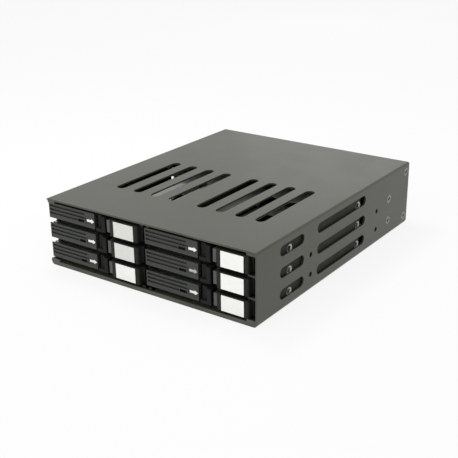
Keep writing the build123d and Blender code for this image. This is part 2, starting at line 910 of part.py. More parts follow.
def latch():
    """Button with a finger scoop that rises to the right, and a stem in the tray front."""
    tall = latch_height / 2
    back = front_face - latch_play
    body = block((latch_from, latch_to), (latch_face, back), (-tall, tall))
    body = fillet(body.edges().filter_by(Axis.Z).group_by(Axis.Y)[0], latch_edge)
    scoop = Polygon(
        (latch_from - 1, latch_face - 1),
        (latch_from + scoop_width, latch_face - 1),
        (latch_from + scoop_width, latch_face),
        (latch_from + scoop_floor, latch_face + scoop_depth),
        (latch_from - 1, latch_face + scoop_depth),
        align=None,
    )
    body -= run_up(scoop, (scoop_lip - tall, tall + 1))
    middle = (latch_from + latch_to) / 2
    stem = latch_stem_width / 2
    tall = latch_stem_height / 2
    return body + block((middle - stem, middle + stem), (back, back + latch_stem_length), (-tall, tall))


def bay_pieces(column, row):
    """The pieces of one tray, each moved to its bay."""
    place = Pos(sides[column] * bay_middle, 0, row_height(row))
    bay = column + "_" + row_names[row]
    makers = {
        "tray": tray,
        "tray_front": tray_front,
        "light_pipe": light_pipe,
        "label": label,
        "lever": lever,
        "lever_pin": lever_pin,
        "latch": latch,
    }
    return {name + "_" + bay: place * make() for name, make in makers.items()}


def chassis_pieces():
    """The pieces that stay in the drive bay."""
    return {
        "outer_shell": outer_shell(),
        "base_plate": base_plate(),
        "centre_divider": centre_divider(),
        "side_guides": [side_guide(side) for side in sides.values()],
        "backplane_board": backplane_board(),
        "drive_receptacles": drive_receptacles(),
        "data_sockets": data_sockets(),
        "power_sockets": power_sockets(),
        "fan_headers": fan_headers(),
        "board_standoffs": board_standoffs(),
        "board_screws": board_screws(),
        "backplane_bracket": backplane_bracket(),
        "rear_panel": rear_panel(),
        "case_screws": case_screws(),
        "fan_frames": [fan_frame(side) for side in sides.values()],
        "fan_screws": fan_screws(),
        "fan_rotor_left": fan_rotor(sides["left"]),
        "fan_rotor_right": fan_rotor(sides["right"]),
    }


def main():
    """Write each piece, or group of like pieces, to its own file."""
    os.makedirs("parts", exist_ok=True)
    pieces = chassis_pieces()
    for column in sides:
        for row in range(rows):
            pieces.update(bay_pieces(column, row))
    for name, piece in pieces.items():
        whole = Compound(children=piece) if isinstance(piece, list) else piece
        whole.label = name
        export_step(whole, "parts/" + name + ".step")


if __name__ == "__main__":
    main()
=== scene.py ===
import json
import logging
import math
from dataclasses import dataclass, field
from enum import Enum
from typing import Callable

import bpy
from bpy.types import Material, MeshPolygon, Node, NodeSocket, NodeTree, Object
from mathutils import Matrix, Vector


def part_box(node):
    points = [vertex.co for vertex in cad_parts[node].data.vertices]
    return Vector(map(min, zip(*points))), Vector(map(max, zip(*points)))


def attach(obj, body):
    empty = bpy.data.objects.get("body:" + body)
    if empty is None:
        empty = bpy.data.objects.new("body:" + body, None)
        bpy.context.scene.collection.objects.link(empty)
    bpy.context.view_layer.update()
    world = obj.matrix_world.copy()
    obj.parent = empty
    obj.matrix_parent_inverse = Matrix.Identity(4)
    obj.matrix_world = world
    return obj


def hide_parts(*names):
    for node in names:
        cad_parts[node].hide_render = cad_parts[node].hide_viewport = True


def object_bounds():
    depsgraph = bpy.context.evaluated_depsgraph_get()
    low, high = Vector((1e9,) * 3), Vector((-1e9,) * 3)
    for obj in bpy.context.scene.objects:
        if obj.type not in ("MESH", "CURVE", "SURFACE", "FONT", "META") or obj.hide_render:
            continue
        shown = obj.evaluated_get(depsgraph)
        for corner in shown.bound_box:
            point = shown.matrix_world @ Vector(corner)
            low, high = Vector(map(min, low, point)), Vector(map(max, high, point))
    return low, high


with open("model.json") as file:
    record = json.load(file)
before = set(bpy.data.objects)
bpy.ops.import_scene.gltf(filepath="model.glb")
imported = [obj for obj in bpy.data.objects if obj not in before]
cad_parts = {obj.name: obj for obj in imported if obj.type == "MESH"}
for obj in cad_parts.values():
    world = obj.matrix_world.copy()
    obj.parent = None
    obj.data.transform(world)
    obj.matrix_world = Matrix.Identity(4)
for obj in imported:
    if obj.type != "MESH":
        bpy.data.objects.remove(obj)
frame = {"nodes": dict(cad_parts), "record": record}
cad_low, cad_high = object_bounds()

# Looks of a six-bay hot-swap drive enclosure. Everything is in the part's own frame, in metres:
# +Z is up, the trays come out towards -Y. Real sizes are written in millimetres and turned to
# metres by mm(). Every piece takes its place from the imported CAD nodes.

MM_PER_METRE = 1000.0
# Points closer than WELD are one point, and coordinates closer than HAIR are equal, in millimetres.
WELD = 0.002
HAIR = 0.01
# How squarely a face has to look along an axis to be picked, 1 for exactly.
SQUARE = 0.9
# Loose triangles that meet flatter than this are joined to one face, in degrees.
FLAT_ANGLE = 0.5
# Edges of the CAD solids that are sharper than this are rounded, in degrees.
SHARP_ANGLE = 35.0
# Number of faces across a round.
ROUND_FACES = 2
log = logging.getLogger("enclosure")


class Side(Enum):
    """The two columns of bays."""

    LEFT = "left"
    RIGHT = "right"


class Row(Enum):
    """The three rows of bays."""

    BOTTOM = "bottom"
    MIDDLE = "middle"
    TOP = "top"


class MixSocket:
    """Places of the colour sockets on a Mix node, whose names are shared with the other types."""

    SHARE = 0
    FIRST = 6
    SECOND = 7
    RESULT = 2


def mm(value: float) -> float:
    """Metres of a length in millimetres."""
    return value / MM_PER_METRE


def per_mm(size: float) -> float:
    """Scale of a texture whose features measure this many millimetres on Object coordinates."""
    return MM_PER_METRE / size


def linear(colour: str) -> tuple[float, float, float, float]:
    """Turns an sRGB hex colour to the linear colour that shaders take.

    Args:
        colour: the colour as "#RRGGBB".

    Returns:
        Red, green, blue and an alpha of 1, linear.
    """
    shares = [int(colour[i : i + 2], 16) / 255 for i in (1, 3, 5)]
    turned = [s / 12.92 if s <= 0.04045 else ((s + 0.055) / 1.055) ** 2.4 for s in shares]
    return (*turned, 1.0)


BLACK = linear("#000000")
WHITE = linear("#FFFFFF")
# A finish's covers: a socket with each one's share, and its colour, sRGB hex.
Cover = list[tuple[NodeSocket, str]]
# Octaves of the soft patches and of the grain, and the noise values that patches fade between.
PATCH_NOISE = {"Detail": 4.0, "Roughness": 0.55}
GRAIN_NOISE = {"Detail": 2.0, "Roughness": 0.6}
PATCH_FADE = {"From Min": 0.36, "From Max": 0.64}


def add_node(
    tree: NodeTree,
    kind: str,
    settings: dict[str, object] | None = None,
    values: dict[str | int, object] | None = None,
    links: dict[str | int, NodeSocket] | None = None,
) -> Node:
    """Adds one node to a tree, with its settings, its fixed inputs and its links.

    Args:
        tree: the node tree of a material or of the world.
        kind: Blender's type name of the node.
        settings: properties of the node itself.
        values: fixed input values, by socket name or place.
        links: sockets that feed an input, by that input's name or place.

    Returns:
        The new node.
    """
    node = tree.nodes.new(kind)
    for name, value in (settings or {}).items():
        setattr(node, name, value)
    for socket, value in (values or {}).items():
        node.inputs[socket].default_value = value
    for socket, source in (links or {}).items():
        tree.links.new(source, node.inputs[socket])
    return node


@dataclass(frozen=True)
class Finish:
    """A surface whose colour and gloss drift in soft patches over a fine grain.

    Attributes:
        name: the real material, as its own name in Blender.
        colour: its colour, sRGB hex.
        drift: the colour that its patches drift to, sRGB hex.
        roughness: the middle of its roughness.
        swing: how far the roughness goes up and down from there.
        patch: size of a patch, in millimetres.
        grain: size of a grain, in millimetres.
        relief: height of the grain, in millimetres.
        metallic: 1 for bare metal.
        coat: weight of a clear layer on top.
        sheen: level of its mirror light, 0.5 for a plain plastic and less for a dull one.
    """

    name: str
    colour: str
    drift: str
    roughness: float
    swing: float
    patch: float
    grain: float
    relief: float
    metallic: float = 0.0
    coat: float = 0.0
    sheen: float = 0.5

    def coordinates(self, tree: NodeTree) -> NodeSocket:
        """Object coordinates, which lie in the part's frame, in metres."""
        return add_node(tree, "ShaderNodeTexCoord").outputs["Object"]

    def patches(self, tree: NodeTree, place: NodeSocket) -> NodeSocket:
        """Soft patches from 0 to 1.

        Args:
            tree: the material's node tree.
            place: the coordinates to read.

        Returns:
            The socket that holds the patches.
        """
        noise = add_node(
            tree,
            "ShaderNodeTexNoise",
            values={"Scale": per_mm(self.patch), **PATCH_NOISE},
            links={"Vector": place},
        )
        spread = add_node(
            tree,
            "ShaderNodeMapRange",
            values=PATCH_FADE,
            links={"Value": noise.outputs["Fac"]},
        )
        return spread.outputs["Result"]

    def cover(self, tree: NodeTree, place: NodeSocket, share: NodeSocket) -> Cover:
        """What shows over the plain surface: nothing, unless a finish says so.

        Args:
            tree: the material's node tree; not used.
            place: the coordinates to read; not used.
            share: the patches, from 0 to 1; not used.

        Returns:
            A socket with each cover's share, and its colour, from the lowest up.
        """
        return []

    def tint(self, tree: NodeTree, place: NodeSocket, share: NodeSocket) -> NodeSocket:
        """Colour of the surface, with what shows over it.

        Args:
            tree: the material's node tree.
            place: the coordinates to read.
            share: the patches, from 0 to 1.

        Returns:
            The socket that holds the colour.
        """
        mixed = add_node(
            tree,
            "ShaderNodeMix",
            settings={"data_type": "RGBA"},
            values={MixSocket.FIRST: linear(self.colour), MixSocket.SECOND: linear(self.drift)},
            links={MixSocket.SHARE: share},
        )
        for mask, colour in self.cover(tree, place, share):
            mixed = add_node(
                tree,
                "ShaderNodeMix",
                settings={"data_type": "RGBA"},
                values={MixSocket.SECOND: linear(colour)},
                links={MixSocket.SHARE: mask, MixSocket.FIRST: mixed.outputs[MixSocket.RESULT]},
            )
        return mixed.outputs[MixSocket.RESULT]

    def height(self, tree: NodeTree, place: NodeSocket) -> NodeSocket:
        """Height of the grain, from 0 to 1.

        Args:
            tree: the material's node tree.
            place: the coordinates to read.

        Returns:
            The socket that holds the height.
        """
        noise = add_node(
            tree,
            "ShaderNodeTexNoise",
            values={"Scale": per_mm(self.grain), **GRAIN_NOISE},
            links={"Vector": place},
        )
        return noise.outputs["Fac"]

    def material(self) -> Material:
        """Builds the material.

        Returns:
            A new material with this finish's nodes.
        """
        made = bpy.data.materials.new(self.name)
        made.use_nodes = True
        tree = made.node_tree
        shader = tree.nodes["Principled BSDF"]
        shader.inputs["Metallic"].default_value = self.metallic
        shader.inputs["Coat Weight"].default_value = self.coat
        shader.inputs["Specular IOR Level"].default_value = self.sheen
        place = self.coordinates(tree)
        share = self.patches(tree, place)
        gloss = add_node(
            tree,
            "ShaderNodeMapRange",
            values={"To Min": self.roughness - self.swing, "To Max": self.roughness + self.swing},
            links={"Value": share},
        )
        bump = add_node(
            tree,
            "ShaderNodeBump",
            values={"Strength": 1.0, "Distance": mm(self.relief)},
            links={"Height": self.height(tree, place)},
        )
        tree.links.new(self.tint(tree, place, share), shader.inputs["Base Color"])
        tree.links.new(gloss.outputs["Result"], shader.inputs["Roughness"])
        tree.links.new(bump.outputs["Normal"], shader.inputs["Normal"])
        return made


@dataclass(frozen=True)
class PowderCoat(Finish):
    """Polyester powder baked on folded steel: an even satin skin with a slight orange peel.

    The skin is thin on the cut front edges, where handling has rubbed it paler in short runs,
    and long faint marks from sliding in and out of a computer's bay run along it.

    Attributes:
        rubbed: colour of rubbed powder, sRGB hex.
        setback: distance of the case's front edge behind the label frames, in millimetres.
        edge: depth of the rubbed strip behind the front edge, in millimetres.
        edge_wear: share of the rubbed colour at the edge itself.
        mark: width of a sliding mark, in millimetres.
        mark_stretch: how many times longer than wide a mark is.
        mark_fade: noise values that a mark fades in between, so high that marks are few.
        mark_wear: share of the rubbed colour in a mark.
    """

    rubbed: str = "#4B4D47"
    setback: float = 1.0
    edge: float = 0.7
    edge_wear: float = 0.8
    mark: float = 1.1
    mark_stretch: float = 24.0
    mark_fade: tuple[float, float] = (0.68, 0.8)
    mark_wear: float = 0.5

    def cover(self, tree: NodeTree, place: NodeSocket, share: NodeSocket) -> Cover:
        """Rubbed powder on the front edge and in the sliding marks.

        Args:
            tree: the material's node tree.
            place: the coordinates to read.
            share: the patches, from 0 to 1.

        Returns:
            The share of rubbed powder, and its colour.
        """
        parts = add_node(tree, "ShaderNodeSeparateXYZ", links={"Vector": place})
        front = add_node(
            tree,
            "ShaderNodeMapRange",
            values={
                "From Min": cad_low.y + mm(self.setback),
                "From Max": cad_low.y + mm(self.setback + self.edge),
                "To Min": self.edge_wear,
                "To Max": 0.0,
            },
            links={"Value": parts.outputs["Y"]},
        )
        stretched = add_node(
            tree,
            "ShaderNodeMapping",
            values={"Scale": (1.0, 1.0 / self.mark_stretch, 1.0)},
            links={"Vector": place},
        )
        strokes = add_node(
            tree,
            "ShaderNodeTexNoise",
            values={"Scale": per_mm(self.mark), "Detail": 1.0},
            links={"Vector": stretched.outputs["Vector"]},
        )
        marks = add_node(
            tree,
            "ShaderNodeMapRange",
            values={
                "From Min": self.mark_fade[0],
                "From Max": self.mark_fade[1],
                "To Max": self.mark_wear,
            },
            links={"Value": strokes.outputs["Fac"]},
        )
        broken = add_node(
            tree,
            "ShaderNodeMath",
            settings={"operation": "MULTIPLY"},
            links={0: front.outputs["Result"], 1: share},
        )
        worn = add_node(
            tree,
            "ShaderNodeMath",
            settings={"operation": "MAXIMUM"},
            links={0: broken.outputs["Value"], 1: marks.outputs["Result"]},
        )
        return [(worn.outputs["Value"], self.rubbed)]


@dataclass(frozen=True)
class RolledMetal(Finish):
    """Metal with the long fine lines that rolling, brushing or extruding leaves along it.

    Attributes:
        stretch: how many times longer than wide a line is.
    """

    stretch: float = 30.0

    def height(self, tree: NodeTree, place: NodeSocket) -> NodeSocket:
        """Height of the lines, which run front to back.

        Args:
            tree: the material's node tree.
            place: the coordinates to read.

        Returns:
            The socket that holds the height, from 0 to 1.
        """
        stretched = add_node(
            tree,
            "ShaderNodeMapping",
            values={"Scale": (1.0, 1.0 / self.stretch, 1.0)},
            links={"Vector": place},
        )
        return super().height(tree, stretched.outputs["Vector"])


@dataclass(frozen=True)
class SolderMask(Finish):
    """Green solder mask on a circuit board, through which the copper tracks show paler.

    Attributes:
        track: colour of the mask over copper, sRGB hex.
        group: width of a group of parallel tracks, in millimetres.
        group_gap: share of that width that parts it from the next.
        pitch: distance between two tracks, in millimetres, drawn wide enough to show.
        track_fade: heights of the wave between which a track's side fades in.
    """

    track: str = "#3C7A50"
    group: float = 9.0
    group_gap: float = 0.06
    pitch: float = 1.2
    track_fade: tuple[float, float] = (0.45, 0.6)

    def cover(self, tree: NodeTree, place: NodeSocket, share: NodeSocket) -> Cover:
        """Copper tracks, in groups of parallel ones.

        Args:
            tree: the material's node tree.
            place: the coordinates to read.
            share: the patches, from 0 to 1; not used.

        Returns:
            The share of the tracks, and their colour.
        """
        upright = add_node(
            tree,
            "ShaderNodeMapping",
            values={"Rotation": (math.radians(90.0), 0.0, 0.0)},
            links={"Vector": place},
        )
        groups = add_node(
            tree,
            "ShaderNodeTexBrick",
            values={
                "Color1": BLACK,
                "Color2": WHITE,
                "Mortar": BLACK,
                "Scale": per_mm(self.group),
                "Mortar Size": self.group_gap,
            },
            links={"Vector": upright.outputs["Vector"]},
        )
        lines = add_node(
            tree,
            "ShaderNodeTexWave",
            settings={"bands_direction": "X"},
            values={"Scale": per_mm(self.pitch) / (2.0 * math.pi), "Distortion": 0.0},
            links={"Vector": place},
        )
        sharp = add_node(
            tree,
            "ShaderNodeMapRange",
            values={"From Min": self.track_fade[0], "From Max": self.track_fade[1]},
            links={"Value": lines.outputs["Fac"]},
        )
        tracks = add_node(
            tree,
            "ShaderNodeMath",
            settings={"operation": "MULTIPLY"},
            links={0: sharp.outputs["Result"], 1: groups.outputs["Color"]},
        )
        return [(tracks.outputs["Value"], self.track)]


@dataclass(frozen=True)
class TrayShadeCoat(Finish):
    """Thin black paint on a steel tray, left off its floor and its countersunk screw holes.
    Its near-black on the sides is painted shade, for the shade and dark reflections in the
    narrow gaps beside the case's walls.

    The side slots show dark trays with a bright ring at each hole, and the top slots show
    bright floors, as in the photograph.

    Attributes:
        bare: colour of the bare zinc, sRGB hex.
        below: how far under the tray the pattern starts, so that no surface lies on its edge.
        floor: height of the bare floor above the tray's underside, in millimetres.
        hole_rise: height of the screw holes above the underside.
        hole_inset: distance of the rear holes from the tray's rear end.
        hole_spacing: distance from the front holes to the rear ones.
        ring: radius that is bare round a hole.
    """

    bare: str = "#B4B6B2"
    below: float = 0.1
    floor: float = 0.8
    hole_rise: float = 3.6
    hole_inset: float = 11.0
    hole_spacing: float = 76.6
    ring: float = 2.45

    def cover(self, tree: NodeTree, place: NodeSocket, share: NodeSocket) -> Cover:
        """Bare steel, whose zinc is dull from handling.

        Args:
            tree: the material's node tree.
            place: the coordinates to read.
            share: the patches, from 0 to 1; not used.

        Returns:
            The share of bare steel, and its colour.
        """
        low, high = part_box("tray_right_bottom")
        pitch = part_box("tray_right_middle")[0].z - low.z
        middle = high.y - mm(self.hole_inset + self.hole_spacing / 2.0)
        below = mm(self.below)
        vectors = place
        for operation, value in (
            ("SUBTRACT", (0.0, middle, low.z - below)),
            ("ABSOLUTE", None),
            ("MODULO", (1.0, 1.0, pitch)),
        ):
            step = add_node(
                tree,
                "ShaderNodeVectorMath",
                settings={"operation": operation},
                values={1: value} if value else None,
                links={0: vectors},
            )
            vectors = step.outputs["Vector"]
        heights = add_node(tree, "ShaderNodeSeparateXYZ", links={"Vector": vectors})
        floor = add_node(
            tree,
            "ShaderNodeMath",
            settings={"operation": "LESS_THAN"},
            values={1: below + mm(self.floor)},
            links={0: heights.outputs["Z"]},
        )
        for operation, value in (
            ("SUBTRACT", (0.0, mm(self.hole_spacing) / 2.0, below + mm(self.hole_rise))),
            ("MULTIPLY", (0.0, 1.0, 1.0)),
        ):
            step = add_node(
                tree,
                "ShaderNodeVectorMath",
                settings={"operation": operation},
                values={1: value},
                links={0: vectors},
            )
            vectors = step.outputs["Vector"]
        away = add_node(
            tree, "ShaderNodeVectorMath", settings={"operation": "LENGTH"}, links={0: vectors}
        )
        ring = add_node(
            tree,
            "ShaderNodeMath",
            settings={"operation": "LESS_THAN"},
            values={1: mm(self.ring)},
            links={0: away.outputs["Value"]},
        )
        bare = add_node(
            tree,
            "ShaderNodeMath",
            settings={"operation": "MAXIMUM"},
            links={0: floor.outputs["Value"], 1: ring.outputs["Value"]},
        )
        return [(bare.outputs["Value"], self.bare)]


# Baked powder: dark satin, whose grey in the photograph is mostly what it reflects.
POWDER_COAT = PowderCoat("satin_powder_coat", "#383A2D", "#3A3C2F", 0.39, 0.02, 24.0, 0.8, 0.02)
# Zinc on cold-rolled steel: bright, with fine rolling lines and slight clouding.
ZINC_STEEL = RolledMetal(
    "zinc_plated_steel", "#B9BBB8", "#A3A5A2", 0.3, 0.06, 9.0, 0.35, 0.003, 1.0
)
# Black paint on the trays' steel: thin, flat and almost without gloss. Its near-black is
# painted shade, for the shade in the narrow gaps beside the case's walls.
TRAY_SHADE_PAINT = TrayShadeCoat(
    "painted_tray_steel", "#131510", "#181A15", 0.6, 0.05, 9.0, 0.5, 0.003, sheen=0.2
)
# Moulded ABS with a spark-eroded grain, about 0.1 mm, drawn at 0.5 mm so that it shows.
BLACK_ABS = Finish("textured_black_abs", "#272A25", "#2C2F2A", 0.44, 0.05, 12.0, 0.5, 0.006)
# The latch buttons' ABS, duller than the levers' beside it, and painted much deeper as the
# shade of its recess behind them.
LATCH_SHADED_ABS = Finish(
    "textured_latch_abs", "#0C0D0A", "#10110E", 0.7, 0.05, 9.0, 0.5, 0.005, sheen=0.25
)
# The tray fronts' ABS, painted nearly as deep as shade of their place behind the levers,
# with a tighter grain.
FRONT_SHADED_ABS = Finish(
    "textured_front_abs", "#10110E", "#141512", 0.66, 0.05, 9.0, 0.4, 0.004, sheen=0.3
)
# Acetal: waxy, even and a little shiny.
ACETAL = Finish("black_acetal", "#191A18", "#1E1F1D", 0.34, 0.03, 10.0, 1.0, 0.002)
# Coated card: flat white, with the slight cloud of its fibres.
LABEL_CARD = Finish("white_label_card", "#F7F8F4", "#F3F4F0", 0.55, 0.05, 3.0, 0.4, 0.002)
# Card greyed as painted shade, for the upper two frames of the left column, which get less
# light than the others.
SHADED_CARD = Finish("greyed_label_card", "#DCDDD8", "#D8D9D3", 0.55, 0.05, 3.0, 0.4, 0.002)
# Smoked acrylic rod: smooth, and paler than the frame that holds it.
SMOKED_ACRYLIC = Finish(
    "smoked_acrylic", "#3C3E3A", "#363834", 0.22, 0.03, 4.0, 1.0, 0.001, coat=0.4
)
# Black anodised extrusion, with die lines along it.
ANODISED = RolledMetal(
    "black_anodised_aluminium", "#33342F", "#3A3B37", 0.36, 0.05, 11.0, 0.4, 0.003, 1.0
)
# Solder mask: deep green and glossy.
BOARD = SolderMask("green_solder_mask", "#1D4A2E", "#22522F", 0.3, 0.04, 14.0, 0.6, 0.002, coat=0.3)
# Glass-filled nylon of the connectors: matte black with a slight glitter of fibre ends.
NYLON = Finish("glass_filled_nylon", "#1F201E", "#262725", 0.4, 0.06, 3.0, 0.35, 0.004)
# Nickel over brass: a warm bright metal, turned on a lathe.
NICKEL_BRASS = Finish("nickel_plated_brass", "#C9C4B4", "#B9B4A4", 0.24, 0.05, 2.5, 0.3, 0.001, 1.0)
# Zinc whose black passivate has worn off the screws: grey metal with darker patches left.
BLACK_ZINC = Finish("black_zinc_steel", "#8A8C88", "#6B6C69", 0.32, 0.07, 1.4, 0.3, 0.002, 1.0)
# Glass-filled polyester of the fans: satin black.
FAN_POLYESTER = Finish("fan_polyester", "#1D1E1C", "#232422", 0.36, 0.05, 6.0, 0.6, 0.003)
# Pad-printed ink: opaque, slightly soft white.
WHITE_INK = Finish("white_pad_printing_ink", "#F5F6F2", "#EEEFEA", 0.5, 0.04, 1.5, 0.3, 0.001)
# The same ink where a thumb has rubbed it thin.
RUBBED_INK = Finish("rubbed_pad_printing_ink", "#C6C8C3", "#8C8E8A", 0.5, 0.05, 0.9, 0.3, 0.001)


class Paintbox:
    """Makes each finish's material once and puts it on pieces."""

    def __init__(self) -> None:
        """Starts with no material made."""
        self.made: dict[Finish, Material] = {}

    def material(self, finish: Finish) -> Material:
        """The finish's material, made at its first use.

        Args:
            finish: the finish to make or to look up.

        Returns:
            The one material of that finish.
        """
        if finish not in self.made:
            self.made[finish] = finish.material()
        return self.made[finish]

    def paint(self, piece: Object, finish: Finish) -> None:
        """Gives a piece one finish all over.

        Args:
            piece: a CAD node or a new mesh piece.
            finish: the finish to give it.
        """
        if not piece.material_slots:
            piece.data.materials.append(None)
        for slot in piece.material_slots:
            slot.material = self.material(finish)

    def paint_nodes(self, finish: Finish, *names: str) -> None:
        """Gives CAD nodes one finish, as they are.

        Args:
            finish: the finish to give them.
            names: the CAD nodes.
        """
        for name in names:
            self.paint(frame["nodes"][name], finish)
            log.info("%s: %s", name, finish.name)

    def round_nodes(self, finish: Finish, width: float, *names: str) -> None:
        """Puts copies with rounded edges in the place of CAD nodes, in one finish.

        Args:
            finish: the finish to give them.
            width: how far a round reaches from its edge, in millimetres.
            names: the CAD nodes.
        """
        for name in names:
            piece = Modeller.rounded_copy(name, mm(width))
            self.paint(piece, finish)
            stand_for(piece, name)


def stand_for(piece: Object, node: str) -> None:
    """Makes a finished piece take a CAD node's place and body.

    Args:
        piece: the finished piece, which stands where the node does.
        node: name of the CAD node.
    """
    record = frame["record"]
    body = next(b for b, nodes in record["behaviour"]["bodies"].items() if node in nodes)
    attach(piece, body)
    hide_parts(node)
    log.info("%s: rides on %s", piece.name, body)


class Modeller:
    """The few steps of work by hand that every new piece shares."""

    @staticmethod
    def deselect() -> None:
        """Leaves nothing selected, CAD nodes included."""
        bpy.ops.object.select_all(action="DESELECT")

    @staticmethod
    def select_faces(piece: Object, rule: Callable[[MeshPolygon], bool]) -> None:
        """Goes into edit mode with the faces that the rule picks.

        Args:
            piece: the active mesh piece, in edit mode.
            rule: takes a face and says whether it is wanted.
        """
        bpy.ops.mesh.select_mode(type="FACE")
        bpy.ops.mesh.select_all(action="DESELECT")
        bpy.ops.object.mode_set(mode="OBJECT")
        for face in piece.data.polygons:
            face.select = rule(face)
        bpy.ops.object.mode_set(mode="EDIT")

    @staticmethod
    def select_edges(piece: Object, rule: Callable[[Vector, Vector], bool]) -> None:
        """Goes into edit mode with the edges that the rule picks.

        Args:
            piece: the active mesh piece, in edit mode.
            rule: takes an edge's two ends and says whether it is wanted.
        """
        bpy.ops.mesh.select_mode(type="EDGE")
        bpy.ops.mesh.select_all(action="DESELECT")
        bpy.ops.object.mode_set(mode="OBJECT")
        points = piece.data.vertices
        for edge in piece.data.edges:
            edge.select = rule(*(points[i].co for i in edge.vertices))
        bpy.ops.object.mode_set(mode="EDIT")

    @staticmethod
    def add_block(name: str, low: Vector, high: Vector) -> Object:
        """Adds a box between two corners, in edit mode and selected all over.

        Args:
            name: the box's name.
            low: its lowest corner, in metres.
            high: its highest corner.

        Returns:
            The box, whose place and size are in its mesh.
        """
        Modeller.deselect()
        bpy.ops.mesh.primitive_cube_add(size=1.0, location=(low + high) / 2.0)
        block = bpy.context.active_object
        block.name = block.data.name = name
        block.scale = high - low
        bpy.ops.object.transform_apply(location=True, rotation=True, scale=True)
        bpy.ops.object.mode_set(mode="EDIT")
        return block

    @staticmethod
    def round_edges(piece: Object, width: float, angle: float) -> None:
        """Rounds a piece's sharp edges with a Bevel modifier and shades it smooth.

        Args:
            piece: the piece, in object mode.
            width: how far the round reaches from the edge, in metres.
            angle: edges sharper than this are rounded, in degrees.
        """
        bpy.context.view_layer.objects.active = piece
        piece.select_set(True)
        bpy.ops.object.mode_set(mode="EDIT")
        bpy.ops.mesh.select_all(action="SELECT")
        bpy.ops.mesh.remove_doubles(threshold=mm(WELD))
        bpy.ops.mesh.dissolve_limited(angle_limit=math.radians(FLAT_ANGLE))
        bpy.ops.mesh.vert_connect_concave()
        bpy.ops.object.mode_set(mode="OBJECT")
        bpy.ops.object.shade_smooth_by_angle(angle=math.radians(angle))
        bevel = piece.modifiers.new("edge", "BEVEL")
        bevel.harden_normals = True
        bevel.width = width
        bevel.segments = ROUND_FACES
        bevel.limit_method = "ANGLE"
        bevel.angle_limit = math.radians(angle)
        bevel.use_clamp_overlap = False
        bevel.loop_slide = False
        bpy.ops.object.modifier_apply(modifier=bevel.name)

    @staticmethod
    def cut_with(piece: Object, tool: Object, operation: str) -> None:
        """Joins a tool to a piece or takes it away from it, and removes the tool.

        Args:
            piece: the piece that changes.
            tool: the closed mesh that it is joined with or cut by, in edit mode.
            operation: UNION or DIFFERENCE.
        """
        bpy.ops.object.mode_set(mode="OBJECT")
        change = piece.modifiers.new("tool", "BOOLEAN")
        change.operation = operation
        change.solver = "EXACT"
        change.object = tool
        bpy.context.view_layer.objects.active = piece
        bpy.ops.object.modifier_apply(modifier=change.name)
        bpy.data.objects.remove(tool)

    @staticmethod
    def rounded_copy(node: str, width: float) -> Object:
        """Copies a CAD node's mesh and rounds its edges a little, as moulding does.

        Args:
            node: name of the CAD node.
            width: how far a round reaches from its edge, in metres.

        Returns:
            The finished piece, which stands where the node stands.
        """
        Modeller.deselect()
        piece = bpy.data.objects.new(f"{node}_finished", frame["nodes"][node].data.copy())
        piece.data.name = piece.name
        bpy.context.scene.collection.objects.link(piece)
        Modeller.round_edges(piece, width, SHARP_ANGLE)
        return piece

    @staticmethod
    def copy_to(piece: Object, name: str, shift: Vector) -> Object:
        """Copies a finished piece to another place.

        Args:
            piece: the piece that is modelled once.
            name: the copy's name.
            shift: how far the copy stands from the piece, in metres.

        Returns:
            The copy, with a mesh of its own.
        """
        copy = bpy.data.objects.new(name, piece.data.copy())
        copy.data.name = name
        copy.data.transform(Matrix.Translation(shift))
        bpy.context.scene.collection.objects.link(copy)
        return copy


